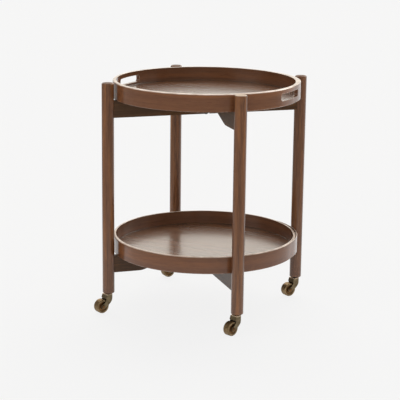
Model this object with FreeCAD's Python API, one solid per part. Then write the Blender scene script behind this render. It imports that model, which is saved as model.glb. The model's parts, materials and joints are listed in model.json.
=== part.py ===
"""Folding two-tier serving table on casters.

Two frames, each of a pair of round legs joined by two rails, cross at the middle and turn about
one upright pivot line.  At each level the two rails are halved over each other: at the upper
level the front-back rail passes over, at the lower level the left-right rail does, so the frames
cannot be lifted apart.  Two round trays with bent wooden rims lie loose on the rails between the
legs, and every leg stands on a cast brass swivel caster.

Frame of the model: millimetres, +Z up, the floor at Z = 0 and the fold's pivot line on the Z
axis.  Frame A runs along X (left leg at -X, right leg at +X).  Frame B runs along Y (front leg
at -Y, back leg at +Y).
"""
import FreeCAD, Part
import math
import os
from FreeCAD import Vector

# ---- legs -------------------------------------------------------------------------------------
LEG_DIA = 33.0
LEG_LENGTH = 582.0
LEG_TOP_ROUND = 4.0
LEG_FOOT_ROUND = 2.5

# ---- rails ------------------------------------------------------------------------------------
RAIL_THICKNESS = 20.0
RAIL_DEPTH = 46.5
UPPER_SEAT_BELOW_LEG_TOP = 47.5
LOWER_SEAT_ABOVE_LEG_FOOT = 104.5
RAIL_EDGE_ROUND = 1.5
GLUE_LINE = 0.1                 # between a rail's hollowed end and its leg
FRAME_B_DROP = 0.3              # frame B turns this far under the trays, which frame A carries

# ---- halved crossing of the rails -------------------------------------------------------------
LAP_WASHER_THICKNESS = 1.2
LAP_RUNNING_GAP = 0.3
RELIEF_FLAT_HALF = 107.0        # half length of the level part of the cut-away
RELIEF_SLOPE = 20.0             # degrees, of the ramp that leads back to full depth
RELIEF_ARC = 57.0               # radius of the two bends of that ramp

# ---- dowels between rails and legs ------------------------------------------------------------
DOWEL_DIA = 8.0
DOWEL_LENGTH = 40.0
DOWEL_SPACING = 24.0            # upright distance between the two dowels of a joint
DOWEL_CLEARANCE = 0.05
DOWEL_END_SPACE = 0.5

# ---- pivot bolts ------------------------------------------------------------------------------
BOLT_DIA = 8.0
BOLT_HEAD_FLATS = 13.0
BOLT_HEAD_HEIGHT = 5.0
NUT_HEIGHT = 6.0
BOLT_TIP_CHAMFER = 1.0
BOLT_TIP_BELOW = 2.3            # the bolt's end shows this far below the lower of the two rails
WASHER_DIA = 20.0
WASHER_THICKNESS = 1.6
LAP_WASHER_DIA = 26.0
COUNTERBORE_DIA = 23.0
COUNTERBORE_DEPTH = 7.8
PIVOT_CLEARANCE = 0.08          # radial, bolt in rails
WASHER_CLEARANCE = 0.2          # radial, bolt in washers, and below a washer that turns

# ---- trays ------------------------------------------------------------------------------------
TRAY_DIA = 508.0
TRAY_LEG_GAP = 6.5
RIM_HEIGHT = 46.5
UPPER_RIM_WALL = 10.0
LOWER_RIM_WALL = 7.0
RIM_TOP_ROUND = 4.2            # the outer edge of the rim's top
RIM_INNER_ROUND = 1.0
RIM_FOOT_ROUND = 1.0
FLOOR_THICKNESS = 6.0
FLOOR_LIFT = 2.5                # the floor panel's underside above the rim's foot
FLOOR_TONGUE = 3.0              # thickness of the panel's edge, which sits in the rim's groove
FLOOR_GROOVE = 3.0              # depth of the rim's groove for that edge
PANEL_CLEARANCE = 0.1
PANEL_EDGE_GAP = 0.3            # between the panel's upper edge and the rim's inner face
UPPER_TRAY_SHIFT = (-1.4, 0.4)  # the loose tray lies a little off the middle

# ---- handle slots of the upper tray -----------------------------------------------------------
HANDLE_LENGTH = 105.0
HANDLE_HEIGHT = 19.0
HANDLE_CORNER = 7.0
HANDLE_BELOW_TOP = 12.3
HANDLE_ANGLE = 134.5            # degrees from +X; the second slot is opposite

# ---- lapped ends of the bent rims -------------------------------------------------------------
LAP_START = -41.0               # degrees from +X, the feathered outer end
LAP_END = 15.0
UPPER_LAP_PROUD = 4.6
LOWER_LAP_PROUD = 5.0
LAP_TOP_ROUND = 1.2
LAP_SEAM_WIDTH = 2.4            # the lower rim's outer end has sprung off by this much
LAP_SEAM_DEPTH = 7.0
LAP_SEAM_SHORT = 4.0            # degrees by which the seam ends before the lap does
SEAM_MOUTH_ROUND = 0.2

# ---- casters ----------------------------------------------------------------------------------
CASTER_HEIGHT = 54.0
WHEEL_DIA = 38.0
WHEEL_WIDTH = 18.0
WHEEL_EDGE_ROUND = 1.6
WHEEL_RING_OUTER = 14.6         # radius where the dished face starts
WHEEL_RING_INNER = 12.6
WHEEL_DISH_DEPTH = 2.6
WHEEL_HUB_RADIUS = 5.6
TRAIL = 24.0
AXLE_DIA = 6.0
AXLE_HEAD_DIA = 9.6
AXLE_HEAD_HEIGHT = 1.6
AXLE_HEAD_ROUND = 1.2
AXLE_CLEARANCE = 0.06           # radial, axle in wheel
FIXED_CLEARANCE = 0.03          # radial, axle and stem in the horn
HUB_SIDE_GAP = 0.3
WHEEL_SIDE_GAP = 0.6
WHEEL_ROUND_GAP = 2.2
WHEEL_TOP_GAP = 2.0
HORN_ARM_THICKNESS = 2.4
HORN_LEAD = 10.2                # the leading edge, ahead of the stem's axis
HORN_BOSS_RADIUS = 6.5
HORN_YOKE_TOP_REACH = 12.5       # trailing side of the yoke, at its top and its foot
HORN_YOKE_LOW_REACH = 16.5
HORN_CROTCH_DROP = 1.0
HORN_CROTCH_BACK = 2.5
HORN_NECK_DROP = 5.5            # straight part of the leading edge
HORN_ARM_ABOVE = 70.0           # degrees round the boss, where the arm's two edges run into it
HORN_ARM_BELOW = -112.0
HORN_EDGE_ROUND = 0.8
HORN_DISH_DEPTH = 1.4           # shallow cone round the stem in the horn's top
HORN_DISH_RADIUS = 8.6
HORN_DISH_FLAT = 1.0
STEM_DIA = 8.0
STEM_IN_HORN = 9.0
STEM_IN_LEG = 30.0
STEM_TIP_CHAMFER = 1.5
SOCKET_DIA = 11.0
SOCKET_IN_LEG = 34.0
SOCKET_CLEARANCE = 0.06         # radial, stem in socket
SOCKET_FIT = 0.05               # radial, socket in leg
SOCKET_FLANGE_DIA = 17.0
SOCKET_FLANGE_HEIGHT = 3.0
SWIVEL_GAP = 0.3
CASTER_HEADINGS = {"left": -161.0, "right": -166.0, "front": -153.0, "back": -168.0}

# ---- worked out from the sizes above ----------------------------------------------------------
LEG_RADIUS = LEG_DIA / 2
LEG_CIRCLE = TRAY_DIA / 2 + TRAY_LEG_GAP + LEG_RADIUS
LEG_BOTTOM = CASTER_HEIGHT
LEG_TOP = LEG_BOTTOM + LEG_LENGTH
UPPER_RAIL_TOP = LEG_TOP - UPPER_SEAT_BELOW_LEG_TOP
LOWER_RAIL_TOP = LEG_BOTTOM + LOWER_SEAT_ABOVE_LEG_FOOT
TRAY_RADIUS = TRAY_DIA / 2
LAP_GAP = LAP_WASHER_THICKNESS + LAP_RUNNING_GAP
LAP_LEVELS = {                  # top of the lower-lying rail where the two cross
    "upper": UPPER_RAIL_TOP - (RAIL_DEPTH + LAP_GAP) / 2,
    "lower": LOWER_RAIL_TOP - (RAIL_DEPTH + LAP_GAP) / 2,
}
AXLE_HEIGHT = WHEEL_DIA / 2
HORN_TOP = CASTER_HEIGHT - SOCKET_FLANGE_HEIGHT - SWIVEL_GAP
HORN_SLOT_WIDTH = WHEEL_WIDTH + 2 * WHEEL_SIDE_GAP
HORN_WIDTH = HORN_SLOT_WIDTH + 2 * HORN_ARM_THICKNESS
LEG_PLACES = {
    "left": (-LEG_CIRCLE, 0.0),
    "right": (LEG_CIRCLE, 0.0),
    "front": (0.0, -LEG_CIRCLE),
    "back": (0.0, LEG_CIRCLE),
}
SPARE = 1.0                     # how far a cutting body runs past the face that it cuts

UP = Vector(0, 0, 1)
ORIGIN = Vector(0, 0, 0)


# ---- small helpers ----------------------------------------------------------------------------
def line(a, b):
    return Part.LineSegment(a, b).toShape()


def arc(a, middle, b):
    return Part.Arc(a, middle, b).toShape()


def arc_into(a, b, heading):
    """Arc from a to b, in an upright plane along X, that reaches b in the given direction."""
    across = heading.cross(Vector(0, 1, 0)).normalize()
    back = a - b
    centre = b + across * (back.dot(back) / (2 * across.dot(back)))
    outward = (a - centre) + (b - centre)
    return arc(a, centre + outward.normalize() * (b - centre).Length, b)


def face(edges):
    return Part.Face(Part.Wire(edges))


def cylinder(radius, height, base=ORIGIN, direction=UP):
    return Part.makeCylinder(radius, height, base, direction)


def turned(profile, axis=UP):
    """Solid made by turning a flat profile once round an axis through the origin."""
    return profile.revolve(ORIGIN, axis, 360)


def moved(shape, offset):
    copy = shape.copy()
    copy.translate(offset)
    return copy


def rotated(shape, degrees):
    copy = shape.copy()
    copy.rotate(ORIGIN, UP, degrees)
    return copy


def along(direction_degrees, length, height=0.0):
    """Point at a given distance from the pivot line, in a given direction."""
    angle = math.radians(direction_degrees)
    return Vector(length * math.cos(angle), length * math.sin(angle), height)


def hexagon(flats, height, base):
    corner = flats / math.sqrt(3)
    points = [base + along(60 * i, corner) for i in range(6)]
    edges = [line(points[i - 1], points[i]) for i in range(6)]
    return face(edges).extrude(UP * height)


def rims_at(shape, level):
    """The shape's edges that lie flat at a given height."""
    return [e for e in shape.Edges
            if abs(e.BoundBox.ZMin - level) < 1e-6 and abs(e.BoundBox.ZMax - level) < 1e-6]


def tube(outer, inner, height, base):
    return cylinder(outer, height, base).cut(cylinder(inner, height, base))


# ---- rails ------------------------------------------------------------------------------------
def relief_edges(level, relief_level, rising):
    """Edges of one rail face from -X to +X: full depth, ramp, level cut-away, ramp, full depth.

    Each ramp is a straight slope between two equal tangent arcs.  rising is +1 where the face
    is the rail's underside and -1 where it is the top.
    """
    slope = math.radians(RELIEF_SLOPE)
    depth = abs(relief_level - level)
    run = RELIEF_ARC * math.sin(slope)
    drop = RELIEF_ARC * (1 - math.cos(slope))
    ramp = (depth - 2 * drop) / math.tan(slope)
    half_run = RELIEF_ARC * math.sin(slope / 2)
    half_drop = RELIEF_ARC * (1 - math.cos(slope / 2))
    inner = RELIEF_FLAT_HALF
    outer = inner + 2 * run + ramp
    right = [
        Vector(inner, 0, relief_level),
        Vector(inner + half_run, 0, relief_level - rising * half_drop),
        Vector(inner + run, 0, relief_level - rising * drop),
        Vector(outer - run, 0, level + rising * drop),
        Vector(outer - half_run, 0, level + rising * half_drop),
        Vector(outer, 0, level),
    ]
    left = [Vector(-p.x, 0, p.z) for p in right]
    ends = (Vector(-LEG_CIRCLE, 0, level), Vector(LEG_CIRCLE, 0, level))
    return [
        line(ends[0], left[5]),
        arc(left[5], left[4], left[3]),
        line(left[3], left[2]),
        arc(left[2], left[1], left[0]),
        line(left[0], right[0]),
        arc(right[0], right[1], right[2]),
        line(right[2], right[3]),
        arc(right[3], right[4], right[5]),
        line(right[5], ends[1]),
    ]


def rail_blank(top, lap_level, passes_over):
    """Rail along X with its cut-away at the lap level, its long edges eased."""
    bottom = top - RAIL_DEPTH
    left, right = -LEG_CIRCLE, LEG_CIRCLE
    if passes_over:
        shaped = relief_edges(bottom, lap_level + LAP_GAP, 1)
        plain = top
    else:
        shaped = relief_edges(top, lap_level, -1)
        plain = bottom
    level = bottom if passes_over else top
    closing = [
        line(Vector(right, 0, level), Vector(right, 0, plain)),
        line(Vector(right, 0, plain), Vector(left, 0, plain)),
        line(Vector(left, 0, plain), Vector(left, 0, level)),
    ]
    blank = face(shaped + closing).extrude(Vector(0, RAIL_THICKNESS, 0))
    blank.translate(Vector(0, -RAIL_THICKNESS / 2, 0))
    long_edges = [e for e in blank.Edges if runs_along_rail(e)]
    return blank.makeFillet(RAIL_EDGE_ROUND, long_edges)


def runs_along_rail(edge):
    """True for an edge in one of the rail's two side faces that isn't an upright end edge."""
    box = edge.BoundBox
    in_side = box.YLength < 1e-6
    return in_side and box.XLength > 1e-6


def rail_dowels(top):
    """The four dowels of one rail along X, two at each leg, and the holes that take them."""
    middle = top - RAIL_DEPTH / 2
    inner = LEG_CIRCLE - LEG_RADIUS - DOWEL_LENGTH / 2
    dowels = []
    holes = []
    for end in (-1, 1):
        for level in (middle - DOWEL_SPACING / 2, middle + DOWEL_SPACING / 2):
            start = Vector(end * inner, 0, level)
            outward = Vector(end, 0, 0)
            dowels.append(cylinder(DOWEL_DIA / 2, DOWEL_LENGTH, start, outward))
            radius = DOWEL_DIA / 2 + DOWEL_CLEARANCE
            length = DOWEL_LENGTH + 2 * DOWEL_END_SPACE
            holes.append(cylinder(radius, length, start - outward * DOWEL_END_SPACE, outward))
    return dowels, holes


def rail(top, lap_level, passes_over):
    """Finished rail along X: hollowed ends, dowel holes, pivot hole and its counterbore."""
    shape = rail_blank(top, lap_level, passes_over)
    bottom = top - RAIL_DEPTH
    cutters = list(rail_dowels(top)[1])
    for end in (-1, 1):
        base = Vector(end * LEG_CIRCLE, 0, bottom - SPARE)
        cutters.append(cylinder(LEG_RADIUS + GLUE_LINE, RAIL_DEPTH + 2 * SPARE, base))
    cutters.append(cylinder(BOLT_DIA / 2 + PIVOT_CLEARANCE, RAIL_DEPTH + 2 * SPARE,
                            Vector(0, 0, bottom - SPARE)))
    recess = top - COUNTERBORE_DEPTH if passes_over else bottom - SPARE
    cutters.append(cylinder(COUNTERBORE_DIA / 2, COUNTERBORE_DEPTH + SPARE, Vector(0, 0, recess)))
    return shape.cut(cutters)


# ---- legs -------------------------------------------------------------------------------------
def leg_post():
    """Round post turned from a profile with rounded ends, standing on its caster, on the Z axis."""
    r = LEG_RADIUS
    low = LEG_BOTTOM
    high = LEG_TOP
    f = LEG_FOOT_ROUND
    t = LEG_TOP_ROUND
    kf = f * (1 - math.cos(math.radians(45)))
    kt = t * (1 - math.cos(math.radians(45)))
    profile = face([
        line(Vector(0, 0, low), Vector(r - f, 0, low)),
        arc(Vector(r - f, 0, low), Vector(r - kf, 0, low + kf), Vector(r, 0, low + f)),
        line(Vector(r, 0, low + f), Vector(r, 0, high - t)),
        arc(Vector(r, 0, high - t), Vector(r - kt, 0, high - kt), Vector(r - t, 0, high)),
        line(Vector(r - t, 0, high), Vector(0, 0, high)),
        line(Vector(0, 0, high), Vector(0, 0, low)),
    ])
    return turned(profile)


def leg(place, dowel_holes):
    post = moved(leg_post(), Vector(place[0], place[1], 0))
    hole_depth = SOCKET_IN_LEG + DOWEL_END_SPACE
    hole = cylinder(SOCKET_DIA / 2 + SOCKET_FIT, hole_depth, Vector(place[0], place[1], LEG_BOTTOM))
    return post.cut([hole] + dowel_holes)


# ---- pivot ------------------------------------------------------------------------------------
def pivot_hardware(over_top, under_bottom, over_turns):
    """Bolt, nut and washers of one crossing.

    over_top is the top of the rail that passes over and under_bottom the underside of the other.
    The washer beside the rail of frame B keeps a running gap to it: that rail turns on the bolt.
    """
    head_gap = WASHER_CLEARANCE if over_turns else 0.0
    nut_gap = 0.0 if over_turns else WASHER_CLEARANCE
    r = BOLT_DIA / 2
    head_washer = over_top - COUNTERBORE_DEPTH + head_gap
    head = head_washer + WASHER_THICKNESS
    nut_washer = under_bottom + COUNTERBORE_DEPTH - WASHER_THICKNESS - nut_gap
    nut = nut_washer - NUT_HEIGHT
    tip = under_bottom - BOLT_TIP_BELOW
    shank = cylinder(r, head - tip, Vector(0, 0, tip))
    bolt = shank.fuse(hexagon(BOLT_HEAD_FLATS, BOLT_HEAD_HEIGHT, Vector(0, 0, head)))
    bolt = bolt.makeChamfer(BOLT_TIP_CHAMFER, rims_at(bolt, tip))
    nut_hole = cylinder(r + FIXED_CLEARANCE, NUT_HEIGHT, Vector(0, 0, nut))
    nut_body = hexagon(BOLT_HEAD_FLATS, NUT_HEIGHT, Vector(0, 0, nut)).cut(nut_hole)
    bore = r + WASHER_CLEARANCE
    washers = [
        tube(WASHER_DIA / 2, bore, WASHER_THICKNESS, Vector(0, 0, head_washer)),
        tube(WASHER_DIA / 2, bore, WASHER_THICKNESS, Vector(0, 0, nut_washer)),
    ]
    return bolt.removeSplitter(), nut_body, washers


def lap_washer(lap_level):
    """Thin wide washer between the two halved rails, lying on the lower of them."""
    return tube(LAP_WASHER_DIA / 2, BOLT_DIA / 2 + WASHER_CLEARANCE, LAP_WASHER_THICKNESS,
                Vector(0, 0, lap_level))


# ---- trays ------------------------------------------------------------------------------------
def rim_section(wall):
    """Upright section of a tray rim: its top rounded, mostly outwards, and its foot eased."""
    outer = TRAY_RADIUS
    inner = TRAY_RADIUS - wall
    t = RIM_TOP_ROUND
    i = RIM_INNER_ROUND
    f = RIM_FOOT_ROUND
    kt = t * (1 - math.cos(math.radians(45)))
    ki = i * (1 - math.cos(math.radians(45)))
    kf = f * (1 - math.cos(math.radians(45)))
    top = RIM_HEIGHT
    return face([
        line(Vector(inner, 0, 0), Vector(outer - f, 0, 0)),
        arc(Vector(outer - f, 0, 0), Vector(outer - kf, 0, kf), Vector(outer, 0, f)),
        line(Vector(outer, 0, f), Vector(outer, 0, top - t)),
        arc(Vector(outer, 0, top - t), Vector(outer - kt, 0, top - kt), Vector(outer - t, 0, top)),
        line(Vector(outer - t, 0, top), Vector(inner + i, 0, top)),
        arc(Vector(inner + i, 0, top), Vector(inner + ki, 0, top - ki), Vector(inner, 0, top - i)),
        line(Vector(inner, 0, top - i), Vector(inner, 0, 0)),
    ])


def eccentric_disc(proud, half_span, top_round, base, height):
    """Disc whose edge meets the tray's circle half_span degrees each side of the lap's middle.

    Between them it stands out by up to proud, because its centre is moved towards the lap's
    middle and its radius is that much smaller.
    """
    half = math.radians(half_span)
    shift = proud / (1 - math.cos(half))
    radius = TRAY_RADIUS - shift * math.cos(half)
    t = top_round
    k = t * (1 - math.cos(math.radians(45)))
    high = base + height
    profile = face([
        line(Vector(0, 0, base), Vector(radius, 0, base)),
        line(Vector(radius, 0, base), Vector(radius, 0, high - t)),
        arc(Vector(radius, 0, high - t), Vector(radius - k, 0, high - k), Vector(radius - t, 0, high)),
        line(Vector(radius - t, 0, high), Vector(0, 0, high)),
        line(Vector(0, 0, high), Vector(0, 0, base)),
    ])
    return moved(turned(profile), along((LAP_START + LAP_END) / 2, shift))


def rim_lap(proud, seam):
    """Outer end of the bent rim, feathered at both ends, with an open seam at its top edge."""
    overlap = RIM_TOP_ROUND + SPARE
    core = cylinder(TRAY_RADIUS - overlap, RIM_HEIGHT + 2 * SPARE, Vector(0, 0, -SPARE))
    half_span = (LAP_END - LAP_START) / 2
    strip_height = RIM_HEIGHT - RIM_FOOT_ROUND
    strip = eccentric_disc(proud, half_span, LAP_TOP_ROUND, RIM_FOOT_ROUND, strip_height)
    strip = strip.cut(core)
    if seam == 0:
        return strip
    opening = eccentric_disc(seam, half_span - LAP_SEAM_SHORT, SEAM_MOUTH_ROUND,
                             RIM_HEIGHT - LAP_SEAM_DEPTH, LAP_SEAM_DEPTH + 2 * SPARE)
    return strip.cut(opening)


def handle_cutter():
    """Upright rounded oblong that runs out through the rim along +X."""
    half = HANDLE_LENGTH / 2
    c = HANDLE_CORNER
    k = c * (1 - math.cos(math.radians(45)))
    high = RIM_HEIGHT - HANDLE_BELOW_TOP
    low = high - HANDLE_HEIGHT
    start = TRAY_RADIUS - UPPER_RIM_WALL - HANDLE_LENGTH / 4

    def at(y, z):
        return Vector(start, y, z)

    outline = face([
        line(at(-half + c, low), at(half - c, low)),
        arc(at(half - c, low), at(half - k, low + k), at(half, low + c)),
        line(at(half, low + c), at(half, high - c)),
        arc(at(half, high - c), at(half - k, high - k), at(half - c, high)),
        line(at(half - c, high), at(-half + c, high)),
        arc(at(-half + c, high), at(-half + k, high - k), at(-half, high - c)),
        line(at(-half, high - c), at(-half, low + c)),
        arc(at(-half, low + c), at(-half + k, low + k), at(-half + c, low)),
    ])
    return outline.extrude(Vector(HANDLE_LENGTH, 0, 0))


def tray_rim(wall, proud, seam, with_handles):
    """Rim with its lap, the groove for the floor panel and, on the upper tray, the two slots."""
    rim = turned(rim_section(wall)).fuse(rim_lap(proud, seam))
    inner = TRAY_RADIUS - wall
    cutters = [tube(inner + FLOOR_GROOVE, inner - SPARE, FLOOR_TONGUE + PANEL_CLEARANCE,
                    Vector(0, 0, FLOOR_LIFT))]
    if with_handles:
        cutters += [rotated(handle_cutter(), HANDLE_ANGLE + turn) for turn in (0, 180)]
    return rim.cut(cutters).removeSplitter()


def tray_floor(wall):
    """Floor panel with a rebated edge: its lower half runs on into the rim's groove."""
    inner = TRAY_RADIUS - wall
    base = Vector(0, 0, FLOOR_LIFT)
    panel = cylinder(inner - PANEL_EDGE_GAP, FLOOR_THICKNESS, base)
    tongue = cylinder(inner + FLOOR_GROOVE - PANEL_CLEARANCE, FLOOR_TONGUE, base)
    return panel.fuse(tongue).removeSplitter()


# ---- casters, each made at the origin, trailing along +X ------------------------------------------
def horn_side():
    """Side outline of the horn: yoke above the wheel, arm sweeping back to the axle boss."""
    top = HORN_TOP
    yoke_low = WHEEL_DIA + WHEEL_TOP_GAP
    lead = -HORN_LEAD
    y = -HORN_WIDTH / 2

    def at(x, z):
        return Vector(x, y, z)

    def on_boss(degrees):
        a = math.radians(degrees)
        return at(TRAIL + HORN_BOSS_RADIUS * math.cos(a), AXLE_HEIGHT + HORN_BOSS_RADIUS * math.sin(a))

    def boss_heading(degrees):
        a = math.radians(degrees)
        return Vector(math.sin(a), 0, -math.cos(a))

    above = on_boss(HORN_ARM_ABOVE)
    below = on_boss(HORN_ARM_BELOW)
    crotch = at(HORN_YOKE_LOW_REACH - HORN_CROTCH_BACK, yoke_low - HORN_CROTCH_DROP)
    neck = at(lead, top - HORN_NECK_DROP)
    return face([
        line(at(lead, top), at(HORN_YOKE_TOP_REACH, top)),
        line(at(HORN_YOKE_TOP_REACH, top), at(HORN_YOKE_LOW_REACH, yoke_low)),
        line(at(HORN_YOKE_LOW_REACH, yoke_low), crotch),
        arc_into(crotch, above, boss_heading(HORN_ARM_ABOVE)),
        arc(above, on_boss(0), below),
        arc_into(neck, below, boss_heading(HORN_ARM_BELOW) * -1),
        line(neck, at(lead, top)),
    ])


def caster_horn():
    """Cast fork: the side outline, rounded in plan at its leading end, hollowed for the wheel."""
    body = horn_side().extrude(Vector(0, HORN_WIDTH, 0))
    sides = [e for e in body.Edges if e.BoundBox.YLength < 1e-6]
    body = body.makeFillet(HORN_EDGE_ROUND, sides)
    radius = HORN_WIDTH / 2
    bend = radius - HORN_LEAD
    reach = TRAIL + HORN_BOSS_RADIUS + SPARE
    plan = cylinder(radius, HORN_TOP + SPARE, Vector(bend, 0, 0))
    plan = plan.fuse(Part.makeBox(reach, HORN_WIDTH, HORN_TOP + SPARE, Vector(bend, -radius, 0)))
    body = body.common(plan)
    half = HORN_SLOT_WIDTH / 2
    across = Vector(0, 1, 0)
    slot = cylinder(WHEEL_DIA / 2 + WHEEL_ROUND_GAP, HORN_SLOT_WIDTH,
                    Vector(TRAIL, -half, AXLE_HEIGHT), across)
    axle_hole = cylinder(AXLE_DIA / 2 + FIXED_CLEARANCE, HORN_WIDTH + 2 * SPARE,
                         Vector(TRAIL, -radius - SPARE, AXLE_HEIGHT), across)
    stem_hole = cylinder(STEM_DIA / 2 + FIXED_CLEARANCE, STEM_IN_HORN + SPARE,
                         Vector(0, 0, HORN_TOP - STEM_IN_HORN))
    dish = Part.makeCone(STEM_DIA / 2 + HORN_DISH_FLAT, HORN_DISH_RADIUS, HORN_DISH_DEPTH,
                         Vector(0, 0, HORN_TOP - HORN_DISH_DEPTH))
    return body.cut([slot, axle_hole, stem_hole, dish]).removeSplitter()


def wheel_section():
    """Half section of the wheel: bore, hub, dished face, ring and rounded tread edge.

    Its Z is the distance along the axle and its X the radius; the wheel is turned round Z.
    """
    r = WHEEL_DIA / 2
    h = WHEEL_WIDTH / 2
    e = WHEEL_EDGE_ROUND
    k = e * (1 - math.cos(math.radians(45)))
    bore = AXLE_DIA / 2 + AXLE_CLEARANCE
    hub = HORN_SLOT_WIDTH / 2 - HUB_SIDE_GAP
    dish = h - WHEEL_DISH_DEPTH
    foot = WHEEL_HUB_RADIUS + WHEEL_DISH_DEPTH / 2
    upper = [
        Vector(bore, 0, hub),
        Vector(WHEEL_HUB_RADIUS, 0, hub),
        Vector(foot, 0, dish),
        Vector(WHEEL_RING_INNER, 0, dish),
        Vector(WHEEL_RING_OUTER, 0, h),
        Vector(r - e, 0, h),
    ]
    lower = [Vector(p.x, 0, -p.z) for p in upper]
    edges = [line(upper[i], upper[i + 1]) for i in range(5)]
    edges.append(arc(upper[5], Vector(r - k, 0, h - k), Vector(r, 0, h - e)))
    edges.append(line(Vector(r, 0, h - e), Vector(r, 0, e - h)))
    edges.append(arc(Vector(r, 0, e - h), Vector(r - k, 0, k - h), lower[5]))
    edges += [line(lower[i + 1], lower[i]) for i in reversed(range(5))]
    edges.append(line(lower[0], upper[0]))
    return face(edges)


def laid_on_axle(shape):
    """Turns a shape made round Z to lie across the caster, at the wheel's centre."""
    copy = shape.copy()
    copy.rotate(ORIGIN, Vector(1, 0, 0), 90)
    copy.translate(Vector(TRAIL, 0, AXLE_HEIGHT))
    return copy


def caster_wheel():
    return laid_on_axle(turned(wheel_section()))


def caster_axle():
    """Riveted axle pin with a rounded head at each end."""
    half = HORN_WIDTH / 2
    head = AXLE_HEAD_DIA / 2
    pin = cylinder(AXLE_DIA / 2, HORN_WIDTH, Vector(0, 0, -half))
    low = cylinder(head, AXLE_HEAD_HEIGHT, Vector(0, 0, -half - AXLE_HEAD_HEIGHT))
    high = cylinder(head, AXLE_HEAD_HEIGHT, Vector(0, 0, half))
    low = low.makeFillet(AXLE_HEAD_ROUND, rims_at(low, -half - AXLE_HEAD_HEIGHT))
    high = high.makeFillet(AXLE_HEAD_ROUND, rims_at(high, half + AXLE_HEAD_HEIGHT))
    return laid_on_axle(pin.fuse([low, high]).removeSplitter())


def caster_stem():
    """Upright pin driven into the horn, turning in the leg's socket."""
    r = STEM_DIA / 2
    low = HORN_TOP - STEM_IN_HORN
    high = LEG_BOTTOM + STEM_IN_LEG
    pin = cylinder(r, high - low, Vector(0, 0, low))
    return pin.makeChamfer(STEM_TIP_CHAMFER, rims_at(pin, high))


def caster_socket():
    """Sleeve driven into the leg, closed at its top, with a flared collar below the leg's end."""
    flange_low = LEG_BOTTOM - SOCKET_FLANGE_HEIGHT
    sleeve = cylinder(SOCKET_DIA / 2, SOCKET_IN_LEG, Vector(0, 0, LEG_BOTTOM))
    collar = Part.makeCone(SOCKET_DIA / 2, SOCKET_FLANGE_DIA / 2, SOCKET_FLANGE_HEIGHT,
                           Vector(0, 0, flange_low))
    bore_depth = SOCKET_FLANGE_HEIGHT + STEM_IN_LEG + SPARE
    bore = cylinder(STEM_DIA / 2 + SOCKET_CLEARANCE, bore_depth, Vector(0, 0, flange_low))
    return sleeve.fuse(collar).cut(bore).removeSplitter()


# ---- putting the table together ---------------------------------------------------------------
def quarter_turned(shapes):
    """Turns shapes made along X to lie along Y: -X goes to -Y and +X to +Y."""
    return [rotated(s, 90) for s in shapes]


def frame_parts():
    """Legs, rails and dowels of both frames."""
    parts = {}
    tiers = {"upper": UPPER_RAIL_TOP, "lower": LOWER_RAIL_TOP}
    over = {"upper": "b", "lower": "a"}
    for frame, ends in (("a", ("left", "right")), ("b", ("front", "back"))):
        dowels = []
        holes = []
        for tier, top in tiers.items():
            level = top - (FRAME_B_DROP if frame == "b" else 0.0)
            shape = rail(level, LAP_LEVELS[tier], over[tier] == frame)
            pins, cuts = rail_dowels(level)
            if frame == "b":
                shape = rotated(shape, 90)
                pins = quarter_turned(pins)
                cuts = quarter_turned(cuts)
            parts[f"{tier}_rail_{frame}"] = shape
            dowels += pins
            holes += cuts
        parts[f"frame_{frame}_dowels"] = Part.makeCompound(dowels)
        for end in ends:
            parts[f"leg_{end}"] = leg(LEG_PLACES[end], holes)
    return parts


def pivot_parts():
    """Bolt, nut and washers at both crossings."""
    parts = {}
    washers = []
    upper_low = UPPER_RAIL_TOP - RAIL_DEPTH
    lower_low = LOWER_RAIL_TOP - FRAME_B_DROP - RAIL_DEPTH
    crossings = (
        ("upper", UPPER_RAIL_TOP - FRAME_B_DROP, upper_low, True),
        ("lower", LOWER_RAIL_TOP, lower_low, False),
    )
    for tier, over_top, under_bottom, over_turns in crossings:
        bolt, nut, pair = pivot_hardware(over_top, under_bottom, over_turns)
        parts[f"{tier}_pivot_bolt"] = bolt
        parts[f"{tier}_pivot_nut"] = nut
        washers += pair
        parts[f"{tier}_lap_washer"] = lap_washer(LAP_LEVELS[tier])
    parts["pivot_washers"] = Part.makeCompound(washers)
    return parts


def tray_parts():
    """Rim and floor panel of both trays, laid on their rails."""
    seats = {
        "upper": (UPPER_RIM_WALL, UPPER_LAP_PROUD, 0.0, True, UPPER_TRAY_SHIFT, UPPER_RAIL_TOP),
        "lower": (LOWER_RIM_WALL, LOWER_LAP_PROUD, LAP_SEAM_WIDTH, False, (0.0, 0.0), LOWER_RAIL_TOP),
    }
    parts = {}
    for tier, (wall, proud, seam, handles, shift, seat) in seats.items():
        place = Vector(shift[0], shift[1], seat)
        parts[f"{tier}_tray_rim"] = moved(tray_rim(wall, proud, seam, handles), place)
        parts[f"{tier}_tray_floor"] = moved(tray_floor(wall), place)
    return parts


def caster_parts():
    """The five pieces of every caster, turned to their headings under the legs."""
    pieces = {
        "socket": caster_socket(),
        "stem": caster_stem(),
        "horn": caster_horn(),
        "wheel": caster_wheel(),
        "axle": caster_axle(),
    }
    parts = {}
    for end, heading in CASTER_HEADINGS.items():
        place = Vector(LEG_PLACES[end][0], LEG_PLACES[end][1], 0)
        for piece, shape in pieces.items():
            parts[f"caster_{end}_{piece}"] = moved(rotated(shape, heading), place)
    return parts


def main():
    os.makedirs("parts", exist_ok=True)
    parts = {}
    parts.update(frame_parts())
    parts.update(pivot_parts())
    parts.update(tray_parts())
    parts.update(caster_parts())
    for name, shape in parts.items():
        if not shape.isValid():
            print("not valid:", name)
        shape.exportStep(os.path.join("parts", name + ".step"))
    swing = math.hypot(TRAIL + WHEEL_DIA / 2, WHEEL_WIDTH / 2)
    fold = 90 - 2 * math.degrees(math.asin((swing + SWIVEL_GAP) / LEG_CIRCLE))
    print(len(parts), "nodes; the casters' circles meet at a fold of", round(fold, 2), "degrees")


main()
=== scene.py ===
import json
import math

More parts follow.
